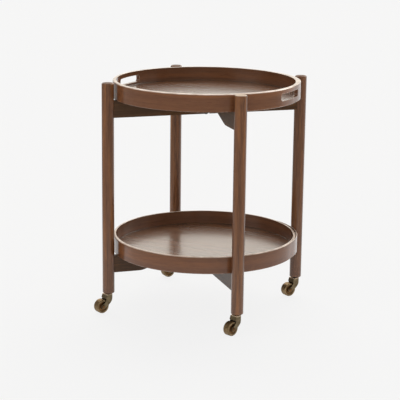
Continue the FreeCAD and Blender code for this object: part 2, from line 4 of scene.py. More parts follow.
import bpy
import numpy as np
from mathutils import Matrix, Vector


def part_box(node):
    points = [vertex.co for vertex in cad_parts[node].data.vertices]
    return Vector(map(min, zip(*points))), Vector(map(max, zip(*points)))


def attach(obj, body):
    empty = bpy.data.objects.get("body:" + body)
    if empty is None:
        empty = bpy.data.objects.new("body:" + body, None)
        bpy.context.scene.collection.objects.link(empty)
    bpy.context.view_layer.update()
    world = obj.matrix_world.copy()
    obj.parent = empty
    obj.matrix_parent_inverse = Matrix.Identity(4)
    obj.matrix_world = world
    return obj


# Folding tray table: lacquered walnut legs, rails and bent rims, veneered tray floors, and cast and
# turned brass casters.  Metres, +Z up, floor at Z = 0, the fold's pivot line on the Z axis.

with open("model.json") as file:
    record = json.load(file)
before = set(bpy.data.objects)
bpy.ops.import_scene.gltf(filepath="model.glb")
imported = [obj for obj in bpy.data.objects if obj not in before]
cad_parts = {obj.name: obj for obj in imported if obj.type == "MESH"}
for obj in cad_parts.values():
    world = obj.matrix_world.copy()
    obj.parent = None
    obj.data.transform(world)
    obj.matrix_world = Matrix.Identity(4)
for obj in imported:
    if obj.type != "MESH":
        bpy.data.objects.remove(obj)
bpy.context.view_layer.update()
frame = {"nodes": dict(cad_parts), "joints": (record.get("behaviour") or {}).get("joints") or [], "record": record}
nodes = frame["nodes"]

ENDS = ("left", "right", "front", "back")
TIERS = ("upper", "lower")
LAP_START = math.radians(-41.0)         # where the rims' outer ends feather out, from +X
MOUNTS = {mount["name"]: mount["pos_m"] for mount in frame["record"]["mounts"]}
AXES = {joint["name"]: joint["axis"] for joint in frame["joints"]}
TRAY_CENTRES = {tier: MOUNTS[f"{tier}_tray_floor"][:2] for tier in TIERS}
TRAY_RADIUS = TRAY_CENTRES["lower"][0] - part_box("lower_tray_rim")[0][0]


def srgb(red, green, blue):
    """Linear colour from a colour as it is seen on a screen, each part from 0 to 255."""
    parts = np.array([red, green, blue]) / 255.0
    linear = np.where(parts <= 0.04045, parts / 12.92, ((parts + 0.055) / 1.055) ** 2.4)
    return (*[float(p) for p in linear], 1.0)


# ---------------------------------------------------------------------------------------------
# Camera
# ---------------------------------------------------------------------------------------------
CAMERA_AZIMUTH = math.radians(-18.352)  # from the front, left is minus
CAMERA_ELEVATION = math.radians(13.595)
CAMERA_ROLL = math.radians(0.674)
CAMERA_DISTANCE = 3.8313
AIM_RIGHT, AIM_HEIGHT = -0.01384, 0.2973
LENS, SENSOR_WIDTH = 124.1, 36.0        # millimetres


def photo_camera():
    """Long lens from the front, a little to the left and above, level to within a degree."""
    right = Vector((math.cos(CAMERA_AZIMUTH), math.sin(CAMERA_AZIMUTH), 0.0))
    back = Vector((math.sin(CAMERA_AZIMUTH) * math.cos(CAMERA_ELEVATION),
                   -math.cos(CAMERA_AZIMUTH) * math.cos(CAMERA_ELEVATION),
                   math.sin(CAMERA_ELEVATION)))
    up = back.cross(right)
    target = right * AIM_RIGHT + Vector((0.0, 0.0, AIM_HEIGHT))
    tilted_right = right * math.cos(CAMERA_ROLL) + up * math.sin(CAMERA_ROLL)
    tilted_up = back.cross(tilted_right)
    lens = bpy.data.cameras.new("camera")
    lens.lens = LENS
    lens.sensor_width = SENSOR_WIDTH
    lens.clip_start, lens.clip_end = 0.1, 60.0
    camera = bpy.data.objects.new("camera", lens)
    turn = Matrix((tilted_right, tilted_up, back)).transposed().to_4x4()
    camera.matrix_world = Matrix.Translation(target + back * CAMERA_DISTANCE) @ turn
    bpy.context.scene.collection.objects.link(camera)
    bpy.context.scene.camera = camera


# ---------------------------------------------------------------------------------------------
# Node trees
# ---------------------------------------------------------------------------------------------
class Tree:
    """A node tree with short calls: an input is a value, or another node's output to link."""

    def __init__(self, tree):
        self.tree = tree

    def link(self, output, socket):
        self.tree.links.new(output, socket)

    def add(self, kind, inputs=None, **settings):
        node = self.tree.nodes.new(kind)
        for name, value in settings.items():
            setattr(node, name, value)
        for key, value in (inputs or {}).items():
            if isinstance(value, bpy.types.NodeSocket):
                self.link(value, node.inputs[key])
            else:
                node.inputs[key].default_value = value
        return node

    def maths(self, operation, *values, clamp=False):
        node = self.add("ShaderNodeMath", dict(enumerate(values)), operation=operation,
                        use_clamp=clamp)
        return node.outputs[0]

    def vectors(self, operation, *values):
        node = self.add("ShaderNodeVectorMath", dict(enumerate(values)), operation=operation)
        return node.outputs["Value" if operation in ("DOT_PRODUCT", "LENGTH") else "Vector"]

    def joined(self, x, y, z):
        return self.add("ShaderNodeCombineXYZ", {0: x, 1: y, 2: z}).outputs[0]

    def split(self, vector):
        return self.add("ShaderNodeSeparateXYZ", {0: vector}).outputs

    def place(self):
        """Where a point lies, in metres, along the axes that the object has at rest."""
        return self.add("ShaderNodeTexCoord").outputs["Object"]

    def facing(self):
        return self.add("ShaderNodeNewGeometry").outputs["Normal"]

    def mix(self, factor, a, b, blend="MIX"):
        node = self.add("ShaderNodeMix", {0: factor, 6: a, 7: b}, data_type="RGBA",
                        blend_type=blend)
        return node.outputs[2]

    def ramp(self, value, low, high, out_low=0.0, out_high=1.0):
        """Value carried from low..high to out_low..out_high with a soft start and end."""
        node = self.add("ShaderNodeMapRange", {0: value, 1: low, 2: high, 3: out_low, 4: out_high},
                        interpolation_type="SMOOTHSTEP")
        return node.outputs[0]

    def noise(self, vector, scale, detail=2.0, distortion=0.0):
        node = self.add("ShaderNodeTexNoise", {"Vector": vector, "Scale": scale, "Detail": detail,
                                               "Distortion": distortion})
        return node.outputs[0]


FLOAT, COLOR, VECTOR = "NodeSocketFloat", "NodeSocketColor", "NodeSocketVector"


def new_group(name, inputs, outputs):
    """Shader node group: inputs are (name, kind, default) triples, outputs (name, kind) pairs."""
    group = bpy.data.node_groups.new(name, "ShaderNodeTree")
    for label, kind, default in inputs:
        socket = group.interface.new_socket(label, in_out="INPUT", socket_type=kind)
        if default is not None:
            socket.default_value = default
    for label, kind in outputs:
        group.interface.new_socket(label, in_out="OUTPUT", socket_type=kind)
    tree = Tree(group)
    given = tree.add("NodeGroupInput").outputs
    out = tree.add("NodeGroupOutput").inputs
    return group, tree, given, out


# Noise of each part of the grain: how many figures lie across one band, a figure's width over its
# length, the noise's detail and its distortion.
GRAIN_LAYERS = {
    "bands": (1.0, 0.035, 2.0, 0.5),
    "warmth": (0.55, 0.06, 1.0, 0.3),
    "waves": (0.33, 0.12, 2.0, 0.9),
    "streaks": (3.6, 0.02, 2.0, 0.0),
    "fibres": (12.0, 0.02, 2.0, 0.0),
    "pores": (24.0, 0.035, 0.0, 0.0),
    "open lines": (0.9, 0.09, 2.0, 0.8),
    "open patches": (0.16, 0.5, 1.0, 0.0),
}
RINGS_PER_WAVE = 7.0
BAND_SHARE, RING_SHARE, STREAK_SHARE, FIBRE_SHARE = 0.5, 0.22, 0.28, 0.5
PORE_SHADE, PORE_SHARE = (0.5, 0.45, 0.42, 1.0), 0.6
FIBRE_HEIGHT, PORE_HEIGHT, LINE_HEIGHT = 0.25, -0.25, -1.5
LINE_REACH = 0.03                       # how far from its middle value the noise makes a line


def walnut_group():
    """Stained walnut with the grain along the vector's X, in metres.

    Bands of two browns lie along the grain, warmed in places.  Finer streaks, hair-fine fibres and
    short open pores lie over them.  Height falls into the pores, and, where the grain is open,
    into long wavy lines that keep to patches.
    """
    group, tree, given, out = new_group(
        "walnut grain",
        [("Vector", VECTOR, None), ("Light", COLOR, None), ("Dark", COLOR, None),
         ("Warm", COLOR, None), ("Bands Per Metre", FLOAT, 90.0), ("Contrast", FLOAT, 1.0),
         ("Gloss Low", FLOAT, 0.3), ("Gloss High", FLOAT, 0.4), ("Open Grain", FLOAT, 0.0)],
        [("Color", COLOR), ("Roughness", FLOAT), ("Height", FLOAT)])

    def layer(name):
        per_band, width_over_length, detail, distortion = GRAIN_LAYERS[name]
        across = tree.maths("MULTIPLY", given["Bands Per Metre"], per_band)
        along = tree.maths("MULTIPLY", across, width_over_length)
        placed = tree.vectors("MULTIPLY", given["Vector"], tree.joined(along, across, across))
        return tree.noise(placed, 1.0, detail, distortion)

    waves, fibres = layer("waves"), layer("fibres")
    rings = tree.maths("PINGPONG", tree.maths("MULTIPLY", waves, RINGS_PER_WAVE), 0.5)
    tone = tree.maths("MULTIPLY", tree.ramp(layer("bands"), 0.3, 0.7), BAND_SHARE)
    tone = tree.maths("MULTIPLY_ADD", tree.ramp(rings, 0.0, 0.5), RING_SHARE, tone)
    tone = tree.maths("MULTIPLY_ADD", tree.ramp(layer("streaks"), 0.3, 0.7), STREAK_SHARE, tone)
    tone = tree.maths("MULTIPLY_ADD", tree.maths("SUBTRACT", tone, 0.5), given["Contrast"], 0.5)
    tone = tree.maths("MULTIPLY_ADD", tree.maths("SUBTRACT", fibres, 0.5), FIBRE_SHARE, tone,
                      clamp=True)
    colour = tree.mix(tone, given["Dark"], given["Light"])
    warm = tree.maths("MULTIPLY", tree.ramp(layer("warmth"), 0.42, 0.72),
                      tree.ramp(tone, 0.1, 0.8))
    colour = tree.mix(warm, colour, given["Warm"])
    pore = tree.ramp(layer("pores"), 0.64, 0.76)
    dim = tree.mix(1.0, colour, PORE_SHADE, "MULTIPLY")
    colour = tree.mix(tree.maths("MULTIPLY", pore, PORE_SHARE), colour, dim)

    from_middle = tree.maths("ABSOLUTE", tree.maths("SUBTRACT", layer("open lines"), 0.5))
    line = tree.maths("MULTIPLY", tree.ramp(from_middle, 0.0, LINE_REACH, 1.0, 0.0),
                      tree.ramp(layer("open patches"), 0.49, 0.57))
    line = tree.maths("MULTIPLY", line, given["Open Grain"])
    height = tree.maths("MULTIPLY_ADD", pore, PORE_HEIGHT,
                        tree.maths("MULTIPLY", fibres, FIBRE_HEIGHT))
    height = tree.maths("MULTIPLY_ADD", line, LINE_HEIGHT, height)

    span = tree.maths("SUBTRACT", given["Gloss High"], given["Gloss Low"])
    rough = tree.maths("MULTIPLY_ADD", tree.ramp(waves, 0.3, 0.7), span, given["Gloss Low"])
    tree.link(tree.mix(line, colour, dim), out["Color"])
    tree.link(rough, out["Roughness"])
    tree.link(height, out["Height"])
    return group


RING_BEND, RING_BENDS = 0.014, 45.0     # metres that the year rings wander, and waves per metre
FLECKS = 1500.0                         # per metre
RING_DARK, RING_LIGHT = (0.5, 0.48, 0.45, 1.0), (0.95, 0.93, 0.9, 1.0)


def end_grain_group():
    """Sawn end of a post: Mask is 1 on level faces, and Color has gently bent year rings.

    The rings lie at even steps of the distance from the pivot line, bent by noise, so every post
    shows a different cut of them.
    """
    group, tree, given, out = new_group(
        "end grain", [("Side", COLOR, None), ("Ring Step", FLOAT, 0.0032)],
        [("Mask", FLOAT), ("Color", COLOR)])
    place = tree.place()
    x, y, _ = tree.split(place)
    away = tree.maths("SQRT", tree.maths("MULTIPLY_ADD", x, x, tree.maths("MULTIPLY", y, y)))
    bent = tree.maths("MULTIPLY_ADD", tree.noise(place, RING_BENDS), RING_BEND, away)
    ring = tree.maths("PINGPONG", tree.maths("DIVIDE", bent, given["Ring Step"]), 0.5)
    flecks = tree.noise(place, FLECKS)
    tone = tree.maths("MULTIPLY_ADD", tree.ramp(ring, 0.0, 0.5), 0.6,
                      tree.maths("MULTIPLY", flecks, 0.5), clamp=True)
    sawn = tree.mix(1.0, given["Side"], tree.mix(tone, RING_DARK, RING_LIGHT), "MULTIPLY")
    upright = tree.maths("ABSOLUTE", tree.split(tree.facing())[2])
    mask = tree.ramp(upright, 0.8, 0.97)
    tree.link(mask, out["Mask"])
    tree.link(tree.mix(mask, given["Side"], sawn), out["Color"])
    return group


# This mask carries a paler colour along the edges: partly wear, partly a painted highlight.
def edge_group():
    """Mask of a piece's outer edges, from how far a rounded edge's normal leaves the face's."""
    group, tree, given, out = new_group(
        "edge rub", [("Reach", FLOAT, 0.0016), ("Break", FLOAT, 60.0)], [("Mask", FLOAT)])
    rounded = tree.add("ShaderNodeBevel", {"Radius": given["Reach"]}, samples=4).outputs[0]
    likeness = tree.vectors("DOT_PRODUCT", rounded, tree.facing())
    edge = tree.ramp(tree.maths("SUBTRACT", 1.0, likeness), 0.01, 0.16)
    broken = tree.ramp(tree.noise(tree.place(), given["Break"], 3.0), 0.35, 0.65, 0.35, 1.0)
    tree.link(tree.maths("MULTIPLY", edge, broken), out["Mask"])
    return group


# Painted shade: hollows that ambient occlusion finds are darkened towards the hollow shade colour, and made
# rougher.
HOLLOW_REACH = 0.006                    # metres within which metal nearby makes a hollow
HOLLOW_SHADE_SHARE, SPECK_HEIGHT = 0.85, 0.5
DULL_ROUGHNESS, HOLLOW_SHADE_ROUGHNESS = 0.22, 0.2


def tarnish_group():
    """Old brass: brown tarnish in patches, painted shade in its hollows, brighter where clean."""
    group, tree, given, out = new_group(
        "tarnish",
        [("Clean", COLOR, None), ("Dull", COLOR, None), ("Hollow Shade", COLOR, None),
         ("Amount", FLOAT, 0.5), ("Scale", FLOAT, 120.0), ("Gloss", FLOAT, 0.26)],
        [("Color", COLOR), ("Roughness", FLOAT), ("Height", FLOAT)])
    place = tree.place()
    patches = tree.noise(place, given["Scale"], 4.0, 0.6)
    specks = tree.noise(place, tree.maths("MULTIPLY", given["Scale"], 9.0))
    # Painted shade: darker where ambient occlusion finds a hollow.
    hollow = tree.add("ShaderNodeAmbientOcclusion", {"Distance": HOLLOW_REACH},
                      samples=6).outputs["AO"]
    hollow_shade = tree.ramp(hollow, 0.25, 0.85, 1.0, 0.0)
    dulled = tree.maths("MULTIPLY_ADD", tree.ramp(patches, 0.35, 0.65), 0.6,
                        tree.maths("SUBTRACT", given["Amount"], 0.3), clamp=True)
    colour = tree.mix(dulled, given["Clean"], given["Dull"])
    colour = tree.mix(tree.maths("MULTIPLY", hollow_shade, HOLLOW_SHADE_SHARE), colour, given["Hollow Shade"])
    rough = tree.maths("MULTIPLY_ADD", hollow_shade, HOLLOW_SHADE_ROUGHNESS, given["Gloss"])
    rough = tree.maths("MULTIPLY_ADD", dulled, DULL_ROUGHNESS, rough)
    tree.link(colour, out["Color"])
    tree.link(rough, out["Roughness"])
    tree.link(tree.maths("MULTIPLY_ADD", specks, SPECK_HEIGHT, patches), out["Height"])
    return group


WALNUT = walnut_group()
END_GRAIN = end_grain_group()
EDGE = edge_group()
TARNISH = tarnish_group()
RELIEF = 0.0002                         # metres of relief for a height of 1


def new_material(name):
    material = bpy.data.materials.new(name)
    material.use_nodes = True
    material.node_tree.nodes.clear()
    return material, Tree(material.node_tree)


def finish_material(tree, shader):
    end = tree.add("ShaderNodeOutputMaterial")
    tree.link(shader.outputs[0], end.inputs["Surface"])


# ---------------------------------------------------------------------------------------------
# Wood
# ---------------------------------------------------------------------------------------------
TOP_HIGHLIGHT_FADE = 0.0025                      # metres of height over which a top's painted highlight fades in
TOP_HIGHLIGHT_PATCHES = 26.0                     # per metre
SAWN_ROUGHER, SAWN_LACQUER = 0.3, 0.25  # a sawn end's added roughness and its share of lacquer


def grain_vector(tree, run, centre=(0.0, 0.0)):
    """Pattern coordinates with X along the grain: along an axis, or round a rim about its centre.

    Round a rim X is the angle from the lap times the tray's radius, Y the height and Z the radius.
    """
    parts = tree.split(tree.place())
    if run == "round":
        x = tree.maths("SUBTRACT", parts[0], centre[0])
        y = tree.maths("SUBTRACT", parts[1], centre[1])
        c, s = math.cos(LAP_START + math.pi), math.sin(LAP_START + math.pi)
        along = tree.maths("MULTIPLY_ADD", x, c, tree.maths("MULTIPLY", y, s))
        across = tree.maths("MULTIPLY_ADD", y, c, tree.maths("MULTIPLY", x, -s))
        angle = tree.maths("ARCTAN2", across, along)
        radius = tree.maths("SQRT", tree.maths("MULTIPLY_ADD", x, x,
                                               tree.maths("MULTIPLY", y, y)))
        return tree.joined(tree.maths("MULTIPLY", angle, TRAY_RADIUS), parts[2], radius)
    order = {"x": (0, 1, 2), "y": (1, 0, 2), "z": (2, 0, 1)}[run]
    return tree.joined(*(parts[axis] for axis in order))


def painted_top_highlight(tree, start):
    """Mask of a painted highlight: faces that look up and lie above the height, broken up by noise."""
    place = tree.place()
    highlit_top = tree.maths("MULTIPLY", tree.ramp(tree.split(place)[2], start, start + TOP_HIGHLIGHT_FADE),
                      tree.ramp(tree.split(tree.facing())[2], 0.02, 0.3))
    patchy = tree.ramp(tree.noise(place, TOP_HIGHLIGHT_PATCHES, 3.0), 0.3, 0.65, 0.35, 0.75)
    return tree.maths("MULTIPLY", highlit_top, patchy)


def lacquered_wood(name, run, browns, bands, contrast, gloss=(0.34, 0.42), relief=0.25,
                   open_grain=0.0, wood_ior=1.12, lacquer=1.0, coat_roughness=0.2,
                   centre=(0.0, 0.0), turn=0.0, wear_and_highlight=None, highlight_above=None, sawn_ends=False):
    """Walnut under satin lacquer, dull at sawn ends; edges and tops paler, painted highlight and wear."""
    material, tree = new_material(name)
    vector = grain_vector(tree, run, centre)
    if turn:
        vector = tree.add("ShaderNodeMapping", {"Vector": vector,
                                                "Rotation": (0, 0, turn)}).outputs[0]
    light, dark, warm = browns
    grain = tree.add("ShaderNodeGroup", {
        "Vector": vector, "Light": light, "Dark": dark, "Warm": warm, "Bands Per Metre": bands,
        "Contrast": contrast, "Gloss Low": gloss[0], "Gloss High": gloss[1],
        "Open Grain": open_grain}, node_tree=WALNUT).outputs
    colour, rough, coat = grain["Color"], grain["Roughness"], lacquer
    if sawn_ends:
        end = tree.add("ShaderNodeGroup", {"Side": colour}, node_tree=END_GRAIN).outputs
        colour = end["Color"]
        rough = tree.maths("MULTIPLY_ADD", end["Mask"], SAWN_ROUGHER, rough)
        coat = tree.maths("MULTIPLY_ADD", end["Mask"], (SAWN_LACQUER - 1.0) * lacquer, lacquer)
    # Edges painted paler: partly wear, partly a painted highlight along the roundings.
    if wear_and_highlight:
        rub_and_highlight = tree.add("ShaderNodeGroup", node_tree=EDGE).outputs
        colour = tree.mix(rub_and_highlight["Mask"], colour, wear_and_highlight)
    # Painted highlight on the upward faces near the top, in the same pale colour as the edges.
    if highlight_above:
        colour = tree.mix(painted_top_highlight(tree, highlight_above), colour, wear_and_highlight)
    bump = tree.add("ShaderNodeBump", {"Strength": relief, "Distance": RELIEF,
                                       "Height": grain["Height"]})
    finish_material(tree, tree.add("ShaderNodeBsdfPrincipled", {
        "Base Color": colour, "Roughness": rough, "IOR": wood_ior, "Coat Weight": coat,
        "Coat Roughness": coat_roughness, "Coat IOR": 1.5, "Normal": bump.outputs[0]}))
    return material


def plain_beech():
    """Raw dowel wood with short fine fibres."""
    material, tree = new_material("raw beech")
    stretched = tree.add("ShaderNodeMapping", {"Vector": grain_vector(tree, "x"),
                                               "Scale": (60.0, 900.0, 900.0)}).outputs[0]
    colour = tree.mix(tree.noise(stretched, 1.0, 3.0), srgb(170, 128, 88), srgb(206, 170, 124))
    finish_material(tree, tree.add("ShaderNodeBsdfPrincipled", {"Base Color": colour,
                                                                "Roughness": 0.6}))
    return material


# ---------------------------------------------------------------------------------------------
# Metal
# ---------------------------------------------------------------------------------------------
DISH_TINT = (0.62, 0.46, 0.34, 1.0)
TREAD_TINT = (0.8, 0.78, 0.74, 1.0)
POLISHED = srgb(236, 214, 186)
DISH_RADII = (0.0118, 0.0128)           # over which a wheel's dish gives way to its ring
TREAD_RADII = (0.0174, 0.0184)          # and its ring to its tread
POLISH_FADE = 0.0006                    # metres of height over which a polished top fades in
POLISH_METALLIC = -0.65


def wheel_tint(tree, colour, centre, axle):
    """Ring of the wheel's face left bright, its dish browner and its tread duller, by radius."""
    arm = tree.vectors("SUBTRACT", tree.place(), centre)
    radius = tree.vectors("LENGTH", tree.vectors("CROSS_PRODUCT", arm, axle))
    colour = tree.mix(tree.ramp(radius, *DISH_RADII, 1.0, 0.0), colour,
                      tree.mix(1.0, colour, DISH_TINT, "MULTIPLY"))
    return tree.mix(tree.ramp(radius, *TREAD_RADII), colour,
                    tree.mix(1.0, colour, TREAD_TINT, "MULTIPLY"))


def old_brass(name, clean, dull, hollow_shade_colour, amount, gloss, bump=0.35, metallic=1.0,
              polished_above=None, wheel=None):
    """Metal with tarnish in patches and painted shade in its hollows."""
    material, tree = new_material(name)
    tarnish = tree.add("ShaderNodeGroup", {"Clean": clean, "Dull": dull, "Hollow Shade": hollow_shade_colour,
                                           "Amount": amount, "Gloss": gloss},
                       node_tree=TARNISH).outputs
    bumped = tree.add("ShaderNodeBump", {"Strength": bump, "Distance": RELIEF,
                                         "Height": tarnish["Height"]})
    colour = tarnish["Color"]
    if wheel:
        colour = wheel_tint(tree, colour, *wheel)
    if polished_above:
        top = tree.ramp(tree.split(tree.place())[2], polished_above,
                        polished_above + POLISH_FADE)
        colour = tree.mix(top, colour, POLISHED)
        metallic = tree.maths("MULTIPLY_ADD", top, POLISH_METALLIC, metallic)
    finish_material(tree, tree.add("ShaderNodeBsdfPrincipled", {
        "Base Color": colour, "Metallic": metallic, "Roughness": tarnish["Roughness"],
        "Normal": bumped.outputs[0]}))
    return material


# ---------------------------------------------------------------------------------------------
# Smooth shading of the CAD solids, whose triangles are loose
# ---------------------------------------------------------------------------------------------
SMOOTH_BELOW = math.radians(32.0)
JOIN_WITHIN = 2e-6


def smoothing_group():
    """Joins loose triangles, and shades smoothly across edges that turn less than the angle."""
    group = bpy.data.node_groups.new("smooth shading", "GeometryNodeTree")
    group.interface.new_socket("Geometry", in_out="INPUT", socket_type="NodeSocketGeometry")
    group.interface.new_socket("Geometry", in_out="OUTPUT", socket_type="NodeSocketGeometry")
    tree = Tree(group)
    start = tree.add("NodeGroupInput")
    merged = tree.add("GeometryNodeMergeByDistance", {"Geometry": start.outputs[0],
                                                      "Distance": JOIN_WITHIN})
    faces = tree.add("GeometryNodeSetShadeSmooth", {"Geometry": merged.outputs[0],
                                                    "Shade Smooth": True}, domain="FACE")
    turn = tree.add("GeometryNodeInputMeshEdgeAngle").outputs[0]
    shallow = tree.add("FunctionNodeCompare", {0: turn, 1: SMOOTH_BELOW},
                       data_type="FLOAT", operation="LESS_THAN")
    edges = tree.add("GeometryNodeSetShadeSmooth", {"Geometry": faces.outputs[0],
                                                    "Shade Smooth": shallow.outputs[0]},
                     domain="EDGE")
    tree.add("NodeGroupOutput", {0: edges.outputs[0]})
    return group


def smooth_solids(group):
    for piece in nodes.values():
        piece.modifiers.new("smooth shading", "NODES").node_group = group
        weighted = piece.modifiers.new("flat faces stay flat", "WEIGHTED_NORMAL")
        weighted.keep_sharp = True
        weighted.weight = 50


# ---------------------------------------------------------------------------------------------
# Bead between each tray's floor and rim
# ---------------------------------------------------------------------------------------------
BEAD_WIDTH = 0.0013
BEAD_SUNK = 0.00008                     # how far the bead's back lies inside the floor and rim
BEAD_TURNS, BEAD_STEPS = 288, 7         # points round the tray, and up the hollow
RIM_WALLS = {"upper": 0.010, "lower": 0.007}


def floor_bead(tier, material):
    """Fine hollow bead of lacquer round a tray, from its floor up the rim's inner wall.

    A point's place is a turn round the tray's centre and a turn s round the hollow's own centre,
    which lies a bead's width in from the wall and up from the floor.  So the radius is the wall's
    less the width, plus the width times sin s, and the height is the floor's plus the width
    times one less cos s.  The last row closes the bead at the back of the corner.
    """
    inner = TRAY_RADIUS - RIM_WALLS[tier]
    floor = MOUNTS[f"{tier}_tray_floor"][2]
    s = np.linspace(0.0, math.pi / 2, BEAD_STEPS)
    radius = inner - BEAD_WIDTH + BEAD_WIDTH * np.sin(s)
    height = floor + BEAD_WIDTH * (1 - np.cos(s))
    radius[-1] += BEAD_SUNK
    height[0] -= BEAD_SUNK
    radius = np.append(radius, inner + BEAD_SUNK)
    height = np.append(height, floor - BEAD_SUNK)
    turns = np.linspace(0.0, 2 * math.pi, BEAD_TURNS, endpoint=False)
    x = TRAY_CENTRES[tier][0] + np.outer(np.cos(turns), radius)
    y = TRAY_CENTRES[tier][1] + np.outer(np.sin(turns), radius)
    points = np.stack([x, y, np.broadcast_to(height, x.shape)], axis=2).reshape(-1, 3)
    rows, steps = len(turns), len(radius)
    row, step = (index.ravel() for index in np.meshgrid(np.arange(rows), np.arange(steps),
                                                        indexing="ij"))
    next_row, next_step = (row + 1) % rows, (step + 1) % steps
    faces = np.stack([row * steps + step, row * steps + next_step,
                      next_row * steps + next_step, next_row * steps + step], axis=1)
    mesh = bpy.data.meshes.new(f"{tier}_floor_bead")
    mesh.from_pydata(points.tolist(), [], faces.tolist())
    mesh.polygons.foreach_set("use_smooth", step < BEAD_STEPS - 1)
    mesh.materials.append(material)
    bead = bpy.data.objects.new(f"{tier}_floor_bead", mesh)
    bpy.context.scene.collection.objects.link(bead)
    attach(bead, f"{tier}_tray")


# ---------------------------------------------------------------------------------------------
# Materials on the pieces
# ---------------------------------------------------------------------------------------------
# Browns of the wood, each the light, the dark and the warm one
LEG_BROWNS = (srgb(125, 84, 56), srgb(84, 54, 36), srgb(136, 88, 50))
RAIL_BROWNS = (srgb(90, 64, 42), srgb(60, 42, 28), srgb(96, 64, 36))
RIM_BROWNS = (srgb(122, 79, 52), srgb(92, 58, 37), srgb(128, 80, 47))
FLOOR_BROWNS = (srgb(118, 82, 56), srgb(82, 54, 36), srgb(124, 82, 50))
FLOOR_GRAIN_TURN = math.radians(42.0)
# Metals, each clean, dull, and the painted shade of its hollows
HORN_METAL = (srgb(134, 118, 92), srgb(100, 88, 68), srgb(36, 26, 16))
WHEEL_METAL = (srgb(166, 142, 108), srgb(126, 104, 76), srgb(48, 32, 18))
SOCKET_METAL = (srgb(240, 224, 196), srgb(214, 192, 160), srgb(190, 166, 132))
STEEL_METAL = (srgb(110, 102, 90), srgb(70, 64, 56), srgb(34, 28, 22))
# How far below its top a piece's painted highlight or polish starts
LEG_HIGHLIGHT_DEPTH, RIM_HIGHLIGHT_DEPTH, HORN_POLISH = 0.0022, 0.0034, 0.0012


def coat(name, material):
    for place in nodes[name].material_slots:
        place.material = material


def top_of(name):
    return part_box(name)[1][2]


def coat_wood():
    # Leg edges painted a little paler: partly wear, partly a painted highlight.
    leg = lacquered_wood("leg walnut", "z", LEG_BROWNS, 110.0, 0.8, wear_and_highlight=srgb(140, 112, 86),
                         sawn_ends=True)
    # A lit copy of the leg walnut: the front leg alone gets cream edges and a pale top, a painted highlight.
    highlit_front_leg = lacquered_wood("front leg walnut with painted highlight", "z", LEG_BROWNS, 110.0, 0.8,
                               wear_and_highlight=srgb(214, 192, 168), sawn_ends=True,
                               highlight_above=top_of("leg_front") - LEG_HIGHLIGHT_DEPTH)
    for end in ENDS:
        coat(f"leg_{end}", highlit_front_leg if end == "front" else leg)
    rails = {rail: lacquered_wood(f"rail walnut {axis}", axis, RAIL_BROWNS, 80.0, 0.7, lacquer=0.4)
             for rail, axis in (("rail_a", "x"), ("rail_b", "y"))}
    bead = lacquered_wood("bead walnut", "x", RAIL_BROWNS, 80.0, 0.4)
    veneer = lacquered_wood("tray floor veneer", "x", FLOOR_BROWNS, 40.0, 0.8, gloss=(0.23, 0.29),
                            relief=0.7, open_grain=1.0, wood_ior=1.5, turn=FLOOR_GRAIN_TURN)
    for tier in TIERS:
        # Rim edges and tops painted cream: a painted highlight along the top.
        rim = lacquered_wood(f"{tier} rim walnut with painted highlight", "round", RIM_BROWNS, 60.0, 0.5,
                             coat_roughness=0.16, centre=TRAY_CENTRES[tier],
                             wear_and_highlight=srgb(228, 210, 194),
                             highlight_above=top_of(f"{tier}_tray_rim") - RIM_HIGHLIGHT_DEPTH)
        coat(f"{tier}_tray_rim", rim)
        coat(f"{tier}_tray_floor", veneer)
        for rail, walnut in rails.items():
            coat(f"{tier}_{rail}", walnut)
        floor_bead(tier, bead)
    beech = plain_beech()
    coat("frame_a_dowels", beech)
    coat("frame_b_dowels", beech)


def coat_metal():
    horn = old_brass("cast brass", *HORN_METAL, 0.5, 0.32,
                     polished_above=top_of("caster_front_horn") - HORN_POLISH)
    socket = old_brass("bright brass", *SOCKET_METAL, 0.2, 0.26, bump=0.1, metallic=0.35)
    steel = old_brass("dulled steel", *STEEL_METAL, 0.4, 0.4)
    for end in ENDS:
        low, high = (Vector(corner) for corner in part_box(f"caster_{end}_wheel"))
        wheel = old_brass(f"turned brass {end}", *WHEEL_METAL, 0.5, 0.42,
                          wheel=((low + high) / 2, AXES[f"wheel_{end}_spin"]))
        coat(f"caster_{end}_wheel", wheel)
        coat(f"caster_{end}_axle", wheel)
        coat(f"caster_{end}_horn", horn)
        coat(f"caster_{end}_socket", socket)
        coat(f"caster_{end}_stem", steel)
    for tier in TIERS:
        for part in ("pivot_bolt", "pivot_nut", "lap_washer"):
            coat(f"{tier}_{part}", steel)
    coat("pivot_washers", steel)


# ---------------------------------------------------------------------------------------------
# Studio: pale floor and backdrop, even sky, soft lamps, and a dimmer room in front
# ---------------------------------------------------------------------------------------------
PLAIN_SHARE = 0.93                      # share of the floor that is plain, for a light shadow
MIRRORED_SHARE = 0.88                   # the same share where the table mirrors the floor
SKY_STRENGTH = 0.45
BACKDROP_RADIUS, BACKDROP_HEIGHT, BACKDROP_STRENGTH = 8.0, 4.5, 1.15
BACKDROP_FROM, BACKDROP_TO = math.radians(-4.0), math.radians(85.0)  # from +Y, right is plus
BACKDROP_PANELS = 32
FLOOR_REACH = 30.0
ROOM_FROM, ROOM_TO = 0.45, 1.7          # how far from the table the floor's reflection dims
SOFT_LEFT, SOFT_RIGHT = 0.1, 0.4        # radians over which it dims beside the backdrop
# Name, azimuth and height in degrees, strength, width in degrees
LAMPS = (
    ("back box", 163.0, 40.0, 2.4, 58.0),
    ("left box", -75.0, 30.0, 0.45, 50.0),
    ("right box", 75.0, 20.0, 0.3, 50.0),
    ("right back box", 118.0, 28.0, 1.1, 40.0),
    ("front box", -10.0, 40.0, 0.3, 60.0),
)
LAMP_TINT = (1.0, 0.965, 0.91)
PALE = srgb(246, 246, 246)
FLOOR_SEEN = srgb(244, 244, 244)
WARM_PALE = srgb(248, 244, 234)
ROOM = srgb(140, 137, 134)


